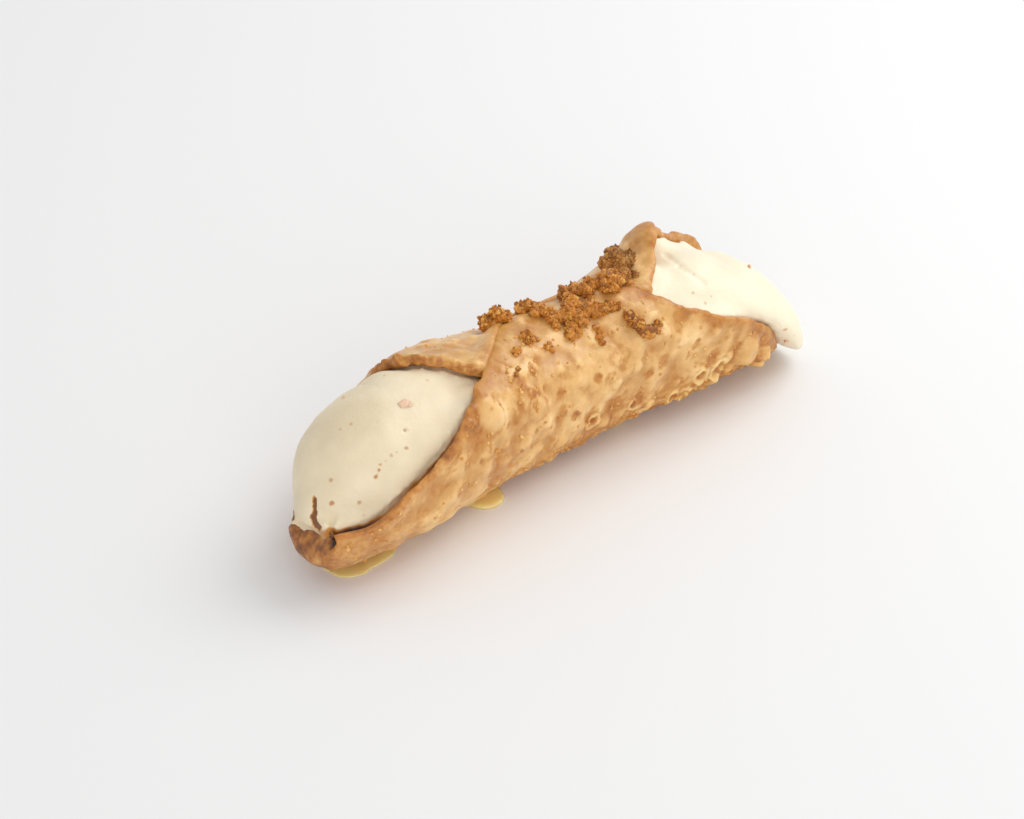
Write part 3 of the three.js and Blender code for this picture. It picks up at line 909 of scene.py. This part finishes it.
marks = {
    "specks": [  # x, y, z, radius, strength
        (-48.3, -15.4, 30.6, 0.55, 0.7), (-56.1, -15.4, 28.2, 0.5, 0.9), (-55.4, -15, 29.2, 0.4, 0.6),
        (-57.3, -15.8, 27, 0.6, 0.8), (-54, -15.2, 29.6, 0.35, 0.5), (-52.3, -15.2, 30.3, 0.4, 0.55),
        (-50.9, -15.3, 30.6, 0.35, 0.5), (-65.1, -9.5, 26.4, 0.55, 0.6), (-67, -12.1, 22.4, 0.7, 0.8),
        (-62.3, -15.9, 22.3, 0.6, 0.7), (-62.3, -17.5, 19.8, 0.5, 0.5), (-55.4, -4.5, 34.5, 0.6, 0.45),
        (-57.6, -3.4, 33.6, 0.5, 0.4), (-33.3, -4.4, 36.7, 0.6, 0.4), (-40, 3, 37, 0.5, 0.5),
        (-52, 6, 32, 0.6, 0.5), (52.5, -7.8, 31.8, 0.7, 0.55), (49.1, -6.4, 32.6, 0.6, 0.4),
        (53.3, -8.4, 31.5, 0.5, 0.4), (57.1, -9.2, 30.3, 0.45, 0.4), (45.4, -10, 30.6, 0.5, 0.5),
        (49.1, -12.6, 29.1, 0.45, 0.5), (46.7, -13.1, 28.6, 0.5, 0.55), (67.5, -21.3, 15.7, 0.9, 0.6),
        (70.8, -21.6, 12.6, 0.7, 0.6), (74, -6, 18, 0.6, 0.6), (70, 4, 20, 0.6, 0.5),
        (60, 6, 28, 0.6, 0.5),
    ],
    "pits": [  # x, y, z, radius, depth
        (-46.4, -12.7, 33.2, 0.8, 0.6), (-57.3, -15.8, 27, 0.6, 0.25), (-60, -14, 26.5, 0.8, 0.2),
        (-51, -8, 34.6, 0.9, 0.18), (52.5, -4.9, 32.8, 0.9, 0.6), (51.4, -4.4, 33, 0.7, 0.45),
        (48, -2.2, 33.6, 1.9, 0.6), (61, -14, 26, 1, 0.25), (58, -3, 30.5, 0.8, 0.3),
        (68, -10, 22, 1.1, 0.3), (-44, 6, 35, 0.9, 0.3), (66, 3, 24, 0.8, 0.4),
    ],
    "bare": [  # pastry showing through thin cream: x, y, z, radius, in order along a streak
        (-69.2, -8, 23, 0.2), (-69.4, -8.8, 21.6, 0.45), (-69.8, -9.4, 19.9, 0.4),
        (-70.4, -9.4, 18.2, 0.75), (-70.6, -10.2, 16.9, 0.95), (-70.5, -11.4, 17, 0.9),
        (-70.2, -12.6, 17.4, 0.5),
    ],
    "bareSpeck": 1.5, "bareDent": 0.35,
    "stainsAndShade": [  # x, y, z, spread, strength: darker where it meets pastry, partly stain and partly painted shade in the crevice
        (-65, -18.5, 18, 7, 2), (-42, -18, 27.5, 10, 1.9),
    ],
    # the darkening all along where the cream meets the pastry is part stain, part painted shade
    "darkening": 0.2, "stainShadeWidth": 1.7, "stainShadeCore": 0.7, "stainShadeFrom": 22.0,
    "scattered": (4.5, 63), "scatteredSpeck": 0.45, "firstPit": (0.7, 0.7),  # speck, radius
    "creases": [((49.0, 3.9, 33.8), (47.9, -3.6, 33.4)), ((47.9, -3.6, 33.4), (49.4, -9.3, 31.4))],
    "crease": (0.4, 1.5),  # depth, width
    "wobble": (0.9, 1, 61), "grain": (0.8, 1, 62), "grainDepth": 0.03, "paintedFarLight": (-30.0, 60.0),
}


def fromSpot(points, spot):
    return np.linalg.norm(points - spot, axis=1)


def fromLine(points, start, end):  # distance to a line and the share of the way along it
    line = np.subtract(end, start)
    share = np.clip((points - start) @ line / (line @ line), 0, 1)
    return np.linalg.norm(points - start - share[:, None] * line, axis=1), share


def stainedAndShaded(points):  # brown where the cream lies against the pastry: a stain, and painted shade in the crevice there
    wall = surfaceTree(shellPiece)
    darkening = marks["darkening"] + sum(nearSpot(points, spot) for spot in marks["stainsAndShade"])
    width, core = marks["stainShadeWidth"], marks["stainShadeCore"]
    off = np.full(len(points), width)
    close = np.flatnonzero(np.abs(points[:, 0]) > marks["stainShadeFrom"])
    places = ((points[close] + partShift) * mm).tolist()
    off[close] = [wall.find_nearest(Vector(p))[3] / mm for p in places]
    return darkening * fade(off - core, width - core)


def markCream(piece):  # pits, creases and specks on the finished skin
    points = readVertices(piece.data, "co").reshape(-1, 3) / mm - partShift
    wobble = 1 + 0.5 * rough(points, *marks["wobble"])
    near, _, mark = cells(points, *marks["scattered"])
    speckAndShade = marks["scatteredSpeck"] * ramp(mark, 0.8, 0.2) * fade(near - 0.04, 0.1)  # faint ones anywhere
    dent = np.zeros(len(points))
    for *spot, radius, strength in marks["specks"]:
        speckAndShade = np.maximum(speckAndShade, strength * fade(fromSpot(points, spot) * wobble - radius * 0.3, radius))
    for (*start, first), (*end, last) in zip(marks["bare"], marks["bare"][1:]):
        off, share = fromLine(points, start, end)
        thin = fade(off * wobble - (first + (last - first) * share) * 0.8, 0.4)
        speckAndShade = np.maximum(speckAndShade, marks["bareSpeck"] * thin)
        dent = np.maximum(dent, marks["bareDent"] * thin)
    for *spot, radius, depth in marks["pits"]:
        dent = np.maximum(dent, depth * fade(fromSpot(points, spot) * wobble, radius))
    strength, radius = marks["firstPit"]
    speckAndShade = np.maximum(speckAndShade, strength * fade(fromSpot(points, marks["pits"][0][:3]), radius))
    depth, width = marks["crease"]
    for start, end in marks["creases"]:
        dent = np.maximum(dent, depth * fade(fromLine(points, start, end)[0], width))
    # specks and the bare streak, with the stain and painted shade where the cream meets the pastry
    addValues(piece.data, "speckAndShade", np.maximum(speckAndShade, stainedAndShaded(points)))
    # painted light: how far towards the lighter painted far end
    addValues(piece.data, "paintedFarLight", ramp(points[:, 0], *marks["paintedFarLight"]))
    pushIn(piece, dent + marks["grainDepth"] * rough(points, *marks["grain"]))


def thinned(piece, covered, share):  # fewer faces where the shell covers it
    wall = surfaceTree(shellPiece)
    hidden = [v.index for v in piece.data.vertices if wall.find_nearest(v.co, covered * mm)[0] is not None]
    piece.vertex_groups.new(name="hidden").add(hidden, 1.0, "REPLACE")
    fewer = piece.modifiers.new("fewer", "DECIMATE")
    fewer.ratio, fewer.vertex_group = share, "hidden"
    return takeMesh(piece)


creamParts = [makeCream(), makeOverflow()]
creamPiece = merged("creamFilling", creamParts, cream["mergeSize"], cream["smoothing"])
creamPiece = thinned(creamPiece, cream["thinWithin"], cream["thinTo"])
markCream(creamPiece)
creamPiece.data.materials.append(creamFinish())
print("cream made", len(creamPiece.data.polygons))


chips = {
    "bits": [  # x, y, z, length, width, thickness, turn in degrees
        (-42.8, -8, 36.3, 3.4, 2, 0.8, -25), (-41.6, -8.8, 36.2, 1.5, 1.1, 0.7, 10),
        (66, -7.5, 26.6, 1.3, 0.8, 0.8, 0), (70.5, -19, 9.6, 1.6, 1, 0.9, 40),
        (-50, 5, 34, 0.9, 0.7, 0.6, 0),
    ],
    "bumps": (0.5, 2, 71), "bumpiness": 0.55, "lift": 0.15,
}
ballPoints, ballTriangles = roundBall()


def makeBits():  # chips of nut and crumb caught on the cream, each laid along its skin
    skin = surfaceTree(creamPiece)
    shape = ballPoints / 2
    points, faces = [], []
    for x, y, z, length, width, thickness, turn in chips["bits"]:
        spot, normal = skin.find_nearest(Vector((np.array([x, y, z]) + partShift) * mm))[:2]
        uneven = 1 + chips["bumpiness"] * rough(shape + x, *chips["bumps"])[:, None]
        turned = normal.to_track_quat("Z", "Y").to_matrix() @ Matrix.Rotation(math.radians(turn), 3, "Z")
        chip = shape * uneven * (length, width, thickness) @ np.array(turned).T
        chip += np.array(spot) / mm - partShift + np.array(normal) * thickness * chips["lift"]
        faces += [tuple(len(points) * len(shape) + i for i in f) for f in ballTriangles]
        points.append(chip)
    return makePiece("creamBits", np.concatenate(points), faces)


puddles = {
    "glazePuddle": {
        "middle": (-58.0, -7.5), "height": 0.75,
        "reach": (10, 7.5, 7, 7.5, 8.2, 8.8, 8.4, 8.4, 7.6, 6.4, 7, 9.4),
    },
    "glazeDrop": {
        "middle": (-20.6, -9.6), "height": 1.2,
        "reach": (4.4, 4.6, 4.2, 4, 4.6, 5.2, 5.2, 5, 4.9, 4.8, 4.6, 4.4),
    },
}
puddleShape = {
    "segments": 120, "rows": 18, "waver": (2.5, 2, 51), "wavering": 0.25, "waverRadius": 6,
    "shoulder": 0.25, "roundness": 6, "edge": 0.12,  # shoulder and edge are shares of the height
    "bottom": 0.02,
}


def makePuddle(name, middle, reach, height):
    segments, rows, bottom = (puddleShape[key] for key in ("segments", "rows", "bottom"))
    turns = np.linspace(0, 2 * np.pi, segments, endpoint=False)
    waver = rough(ringPoints(turns, puddleShape["waverRadius"]), *puddleShape["waver"])
    edge = loop(reach, turns) + puddleShape["wavering"] * waver
    part = np.sin(np.linspace(0, np.pi / 2, rows + 1)[1:])
    domed = np.sqrt(np.clip(1 - part ** puddleShape["roundness"], 0, 1))
    heights = np.concatenate([toward(puddleShape["shoulder"], domed, 1), np.zeros(rows - 1)])
    heights[rows - 1] = puddleShape["edge"]
    parts = np.concatenate([part, part[-2::-1]])
    x = middle[0] + np.outer(parts, edge * np.cos(turns)).ravel()
    y = middle[1] + np.outer(parts, edge * np.sin(turns)).ravel()
    z = np.repeat(heights * height, segments) + bottom
    points = np.concatenate([[(*middle, height)], np.stack([x, y, z], -1), [(*middle, bottom)]])
    return makePiece(name, points, ballFaces(len(parts), segments))


def puddleFinish():
    gloss = waxy(0.5, 2.0, (1.0, 0.6, 0.2), 0.4, 0.12, Roughness=0.22)
    material, tree, surface = newFinish("pooledGlaze", gloss)
    cloud = noiseNode(tree, 4.0, 2.0, 0.5, 6.0)
    colour = blendColour(tree, cloud, tint(255, 228, 160), tint(246, 206, 126))
    setSocket(tree, surface.inputs["Base Color"], colour)
    return material


puddlePaint = puddleFinish()
puddlePieces = []
for name, shape in puddles.items():
    puddlePieces.append(makePuddle(name, **shape))
    puddlePieces[-1].data.materials.append(puddlePaint)
print("puddles made")


crumble = {
    "grain": 0.85, "spread": 0.55, "packing": 0.62, "density": 3.0e6, "seed": 5,
    "mergeSize": 0.3, "coreBumps": (0.7, 2, 31), "coreBumpiness": 0.32, "coreSize": 0.82,
    "lumps": {  # along, girth, radius, height of the middle over the glaze
        "crumbleLone": [
            (-6.6, 58.6, 2.4, 1), (-4.6, 57.2, 2.2, 1.7), (-8.2, 57.8, 1.5, 0.6), (-3.2, 56.2, 1.6, 0.9),
        ],
        "crumbleHeap": [
            (2.6, 57.4, 1.7, 0.9), (4.4, 56.8, 1.8, 1.1), (5.4, 54.6, 1.8, 0.9), (3.4, 54.2, 1.4, 0.5),
            (6, 52.6, 1.7, 0.7), (5.4, 50.8, 1.7, 0.6), (7.4, 50.4, 1.9, 0.9), (4.8, 48.6, 1.3, 0.4),
            (9.5, 49.6, 2.5, 1.6), (11.6, 51, 2.3, 2), (13.4, 49.2, 2.1, 1.3), (10.8, 47.4, 2.2, 1),
            (7.8, 47, 1.6, 0.6), (6.4, 45.4, 1.5, 0.4), (8.5, 45.4, 1.4, 0.4), (15.6, 47.8, 1.7, 0.8),
            (17.6, 47.2, 1.8, 0.7), (19.8, 47, 1.6, 0.5), (21.3, 46.4, 1.2, 0.3), (16.4, 49.6, 1.6, 0.9),
            (13, 53, 1.7, 0.9), (14.6, 55.4, 2.1, 1.4), (16.8, 54.4, 1.9, 1.2), (18.5, 52.4, 1.8, 1),
            (20.6, 53.3, 2, 1.3), (22.4, 51, 1.9, 1.2), (24.2, 52.3, 2.1, 1.5), (24, 49.6, 1.5, 0.6),
            (26.3, 50.6, 1.7, 0.9), (27.5, 53, 2.1, 1.4), (29.4, 51.4, 1.6, 0.9), (29, 49.4, 1.2, 0.4),
            (30.6, 56.4, 2.5, 2), (32.2, 55.2, 2.7, 2.6), (32.8, 57.6, 2.6, 3.6), (31.2, 53.2, 2, 1.2),
            (35, 55.4, 2.1, 1.6), (31, 58.4, 2.2, 3),
        ],
        "crumbleCrescent": [
            (22.2, 43, 1.7, 0.8), (22.6, 41.2, 1.8, 0.9), (23.3, 39.6, 1.7, 0.8), (24.8, 38.6, 1.6, 0.6),
            (26.4, 38.6, 1.4, 0.5), (27.9, 39.2, 1.1, 0.3), (24, 41, 1.1, 0.6),
        ],
        "crumbleBits": [
            (-4.8, 48.8, 1.4, 0.5), (-4, 47.8, 1.3, 0.4), (-5.3, 47.6, 1, 0.3), (-10.6, 46, 1.2, 0.4),
            (-9.6, 46.4, 0.9, 0.3), (-2.4, 47.4, 0.8, 0.2), (-1.2, 44.9, 1.1, 0.4),
            (-0.6, 44.1, 0.9, 0.3), (13.6, 43.6, 0.9, 0.3), (13, 42.4, 1, 0.3), (12.4, 41.2, 0.9, 0.2),
            (13.3, 44.7, 0.8, 0.2), (-13.8, 42.4, 0.8, 0.1), (-15.2, 41.6, 0.7, 0.1),
            (33.4, 51.6, 1, 0.3),
        ],
    },
    "nodes": {
        "crumbleHeap": "crumble_heap", "crumbleLone": "crumble_lone", "crumbleCrescent": "crumble_crescent",
    },
    "looseGrain": 0.62, "looseSpread": 0.5, "looseDensity": 7.0e5,
    "variants": 6, "variantBumps": 1.4, "variantStep": (3.7, 1.9, 2.3), "anyTurn": (6.28, 6.28, 6.28),
    "slimmest": (0.8, 0.8, 0.75), "widest": (1.2, 1.2, 1.15),
}


def makeCore(name, lumps):
    x, girth, radii, height = np.array(lumps, float).T
    girth = np.where(borderGap(x, girth) > 0, girth, girth - fullGirth)
    middles = wrap(x, girth, -finish(x, girth).relief - height)
    balls = []
    for middle, radius in zip(middles, radii):
        uneven = 1 + crumble["coreBumpiness"] * rough(ballPoints + middle, *crumble["coreBumps"])[:, None]
        balls.append((middle + ballPoints * uneven * radius * crumble["coreSize"], ballTriangles))
    return merged(name, balls, crumble["mergeSize"], 0)


def grainVariants(tree):  # irregular grains, one millimetre across when scaled by a millimetre
    variants = addNode(tree, "GeometryNodeJoinGeometry")
    for k in range(crumble["variants"]):
        ball = addNode(tree, "GeometryNodeMeshIcoSphere", {"Radius": 0.5, "Subdivisions": 1 + k % 2})
        spot = addNode(tree, "GeometryNodeInputPosition").outputs[0]
        normal = addNode(tree, "GeometryNodeInputNormal").outputs[0]
        moved = vectorMaths(tree, "ADD", {0: spot, 1: [k * step for step in crumble["variantStep"]]})
        lumps = addNode(tree, "ShaderNodeTexNoise", {
            "Vector": moved, "Scale": 1.9, "Detail": 1.5, "Roughness": 0.7,
        }).outputs["Fac"]
        amount = centred(tree, lumps, crumble["variantBumps"])
        shaped = addNode(tree, "GeometryNodeSetPosition", {
            "Geometry": ball.outputs["Mesh"],
            "Offset": vectorMaths(tree, "SCALE", {0: normal, "Scale": amount}),
        })
        one = addNode(tree, "GeometryNodeGeometryToInstance", {0: shaped.outputs[0]})
        tree.links.new(one.outputs[0], variants.inputs[0])
    return variants.outputs[0]


def randomValue(tree, kind, seed, low, high):
    first, output = {"FLOAT_VECTOR": (0, 0), "FLOAT": (2, 1), "INT": (4, 2)}[kind]  # its socket numbers
    given = {first: low, first + 1: high, "Seed": seed}
    return addNode(tree, "FunctionNodeRandomValue", given, data_type=kind).outputs[output]


def grainInputs(tree):
    sockets = {
        "Surface": "Geometry", "Grain size": "Float", "Size spread": "Float", "Spacing": "Float",
        "Density": "Float", "Seed": "Int", "Finish": "Material",
    }
    for label, kind in sockets.items():
        tree.interface.new_socket(label, in_out="INPUT", socket_type="NodeSocket" + kind)
    tree.interface.new_socket("Grains", in_out="OUTPUT", socket_type="NodeSocketGeometry")
    return addNode(tree, "NodeGroupInput").outputs


def scatterNode(tree, given, evenly):
    if evenly:
        return addNode(tree, "GeometryNodeDistributePointsOnFaces", {
            "Mesh": given["Surface"], "Distance Min": given["Spacing"], "Density Max": given["Density"],
            "Seed": given["Seed"],
        }, distribute_method="POISSON")
    gritty = addNode(tree, "GeometryNodeInputNamedAttribute", {"Name": "gritty"}, data_type="FLOAT")
    density = maths(tree, "MULTIPLY", gritty.outputs["Attribute"], given["Density"])
    return addNode(tree, "GeometryNodeDistributePointsOnFaces", {
        "Mesh": given["Surface"], "Density": density, "Seed": given["Seed"],
    }, distribute_method="RANDOM")


def grainTree(name, evenly):  # grains over a surface: packed evenly, or loose where the surface is gritty
    tree = bpy.data.node_groups.new(name, "GeometryNodeTree")
    given = grainInputs(tree)
    seed, spread = given["Seed"], given["Size spread"]
    scatter = scatterNode(tree, given, evenly)
    least, most = maths(tree, "SUBTRACT", 1.0, spread), maths(tree, "ADD", 1.0, spread)
    size = maths(tree, "MULTIPLY", randomValue(tree, "FLOAT", seed, least, most), given["Grain size"])
    shape = randomValue(tree, "FLOAT_VECTOR", seed, crumble["slimmest"], crumble["widest"])
    turn = randomValue(tree, "FLOAT_VECTOR", seed, (0.0, 0.0, 0.0), crumble["anyTurn"])
    placed = addNode(tree, "GeometryNodeInstanceOnPoints", {
        "Points": scatter.outputs["Points"], "Instance": grainVariants(tree), "Pick Instance": True,
        "Instance Index": randomValue(tree, "INT", seed, 0, crumble["variants"] - 1), "Rotation": turn,
        "Scale": vectorMaths(tree, "SCALE", {0: shape, "Scale": size}),
    })
    solid = addNode(tree, "GeometryNodeRealizeInstances", {"Geometry": placed.outputs[0]})
    result = addNode(tree, "GeometryNodeSetShadeSmooth", {
        "Geometry": solid.outputs[0], "Shade Smooth": False,
    }).outputs[0]
    if evenly:  # the core stays, grains sit on it
        both = addNode(tree, "GeometryNodeJoinGeometry")
        tree.links.new(result, both.inputs[0])
        tree.links.new(given["Surface"], both.inputs[0])
        result = both.outputs[0]
    painted = addNode(tree, "GeometryNodeSetMaterial", {"Geometry": result, "Material": given["Finish"]})
    addNode(tree, "NodeGroupOutput", {0: painted.outputs[0]})
    return tree


def coverIn(piece, tree, settings):
    modifier = piece.modifiers.new("cover", "NODES")
    modifier.node_group = tree
    for item in tree.interface.items_tree:
        if item.in_out == "INPUT" and item.name in settings:
            modifier[item.identifier] = settings[item.name]
    return takeMesh(piece)


crumblePaints = {
    "brownedCrumble": {
        "dark": tint(138, 78, 16), "middle": tint(206, 132, 40), "light": tint(242, 192, 98),
        "peak": (0.023, 0.031, 0.55, tint(110, 76, 30)),  # metres along, then the share darkened there
    },
    "goldenGrain": {"dark": tint(206, 140, 60), "middle": tint(236, 176, 94), "light": tint(255, 220, 146)},
    "nutChips": {"dark": tint(214, 150, 86), "middle": tint(236, 190, 156), "light": tint(248, 222, 200)},
}


def crumbleFinish(name, dark, middle, light, peak=None):
    gloss = waxy(0.25, 0.6, (1.0, 0.5, 0.15), 0.12, 0.3, Roughness=0.5)
    material, tree, surface = newFinish(name, gloss)
    island = addNode(tree, "ShaderNodeNewGeometry").outputs["Random Per Island"]
    spots = noiseNode(tree, 0.5, 2.0, 0.6, 5.0)
    tone = maths(tree, "ADD", maths(tree, "MULTIPLY", island, 0.75), maths(tree, "MULTIPLY", spots, 0.4))
    colour = inSteps(tree, tone, dark, [(0.15, 0.65, middle), (0.72, 1.1, light)])
    if peak:
        start, end, share, browner = peak
        spot = addNode(tree, "ShaderNodeTexCoord").outputs["Object"]
        ahead = addNode(tree, "ShaderNodeSeparateXYZ", {"Vector": spot}).outputs["X"]
        colour = blendColour(tree, remap(tree, ahead, start, end, (0.0, share)), colour, browner)
    setSocket(tree, surface.inputs["Base Color"], colour)
    addGrain(tree, surface, spots, 0.5, 0.3)
    return material


crumblePaint, grainPaint, chipPaint = (crumbleFinish(name, **crumblePaints[name]) for name in crumblePaints)
packed = grainTree("packedGrains", True)
crumblePieces = {}
for index, (name, lumps) in enumerate(crumble["lumps"].items()):
    crumblePieces[name] = coverIn(makeCore(name, lumps), packed, {
        "Grain size": crumble["grain"] * mm, "Size spread": crumble["spread"],
        "Spacing": crumble["grain"] * crumble["packing"] * mm, "Density": crumble["density"],
        "Seed": crumble["seed"] + index, "Finish": crumblePaint,
    })
    print(name, len(crumblePieces[name].data.polygons))

# single grains caught in the glaze
sprinkled = linked("looseGrains", shellPiece.data.copy())
crumblePieces["looseGrains"] = coverIn(sprinkled, grainTree("looseGrains", False), {
    "Grain size": crumble["looseGrain"] * mm, "Size spread": crumble["looseSpread"],
    "Density": crumble["looseDensity"], "Seed": crumble["seed"], "Finish": grainPaint,
})
print("loose grains", len(crumblePieces["looseGrains"].data.polygons))

crumblePieces["creamBits"] = makeBits()
crumblePieces["creamBits"].data.materials.append(chipPaint)


view = {
    "azimuth": -40.31, "elevation": 35.0, "distance": 620.0, "lens": 90.0, "sensor": 36.0,
    "clip": (0.01, 20.0), "aim": (9.0, 0.0, 19.0), "aimPixel": (553.44, 368.66), "frame": (1024, 819),
}
studio = {
    "floorHalf": 4.0, "floorShade": (0.87, 0.87, 0.87, 1.0), "floorRoughness": 0.6,
    "worldShade": (1.0, 1.0, 1.0, 1.0), "worldStrength": 0.7,
    "softboxes": {  # direction: across, away from the camera, up
        "key": {"power": 3.0, "size": 0.6, "distance": 0.82, "direction": (0.72, 0.45, 0.9)},
        "fill": {"power": 6.0, "size": 1.0, "distance": 1.6, "direction": (0.2, -0.9, 0.32)},
    },
}


def cameraAxes():  # across, level from the camera onwards, and back from the aim to the camera
    azimuth, elevation = math.radians(view["azimuth"]), math.radians(view["elevation"])
    across = np.array([math.cos(azimuth), math.sin(azimuth), 0.0])
    away = np.array([-math.sin(azimuth), math.cos(azimuth), 0.0])
    back = np.array([-away[0] * math.cos(elevation), -away[1] * math.cos(elevation), math.sin(elevation)])
    return across, away, back


def turnedTo(item, place, facing):  # at a place in metres, its back towards a direction
    item.location = Vector(place)
    item.rotation_euler = Vector(facing).to_track_quat("Z", "Y").to_euler()
    return item


def addCamera(across, back):
    width, height = view["frame"]
    perPixel = view["distance"] / (view["lens"] / view["sensor"] * width)
    aside = (view["aimPixel"][0] - width / 2) * perPixel
    above = (view["aimPixel"][1] - height / 2) * perPixel
    upward = np.cross(back, across)
    eye = np.array(view["aim"]) + partShift + back * view["distance"] - across * aside + upward * above
    lens = bpy.data.cameras.new("view")
    lens.lens, lens.sensor_width = view["lens"], view["sensor"]
    lens.clip_start, lens.clip_end = view["clip"]
    bpy.context.scene.camera = turnedTo(linked("view", lens), eye * mm, back)


def addFloor():
    half = studio["floorHalf"]
    corners = [(-half, -half, 0), (half, -half, 0), (half, half, 0), (-half, half, 0)]
    mesh = bpy.data.meshes.new("floor")
    mesh.from_pydata(corners, [], [(0, 1, 2, 3)])
    paint = {"Base Color": studio["floorShade"], "Roughness": studio["floorRoughness"]}
    mesh.materials.append(newFinish("paleFloor", paint)[0])
    return linked("floor", mesh)


def addSoftbox(name, power, size, direction, distance):
    lamp = bpy.data.lights.new(name, "AREA")
    lamp.energy, lamp.size = power, size
    unit = direction / np.linalg.norm(direction)
    turnedTo(linked(name, lamp), unit * distance, unit)


across, away, back = cameraAxes()
addCamera(across, back)
floor = addFloor()
for name, box in studio["softboxes"].items():
    direction = np.array(box["direction"]) @ [across, away, (0.0, 0.0, 1.0)]
    addSoftbox(name, box["power"], box["size"], direction, box["distance"])
world = bpy.data.worlds.new("studio")
world.use_nodes = True
sky = world.node_tree.nodes["Background"].inputs
sky["Color"].default_value = studio["worldShade"]
sky["Strength"].default_value = studio["worldStrength"]
bpy.context.scene.world = world
bpy.context.scene.view_settings.view_transform = "Standard"
print("studio set")


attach(shellPiece, "root")
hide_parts("pastry_shell")
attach(creamPiece, "root")
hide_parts("cream_filling")
for piece in puddlePieces:
    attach(piece, "root")
for name, piece in crumblePieces.items():
    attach(piece, "root")
    if name in crumble["nodes"]:
        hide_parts(crumble["nodes"][name])
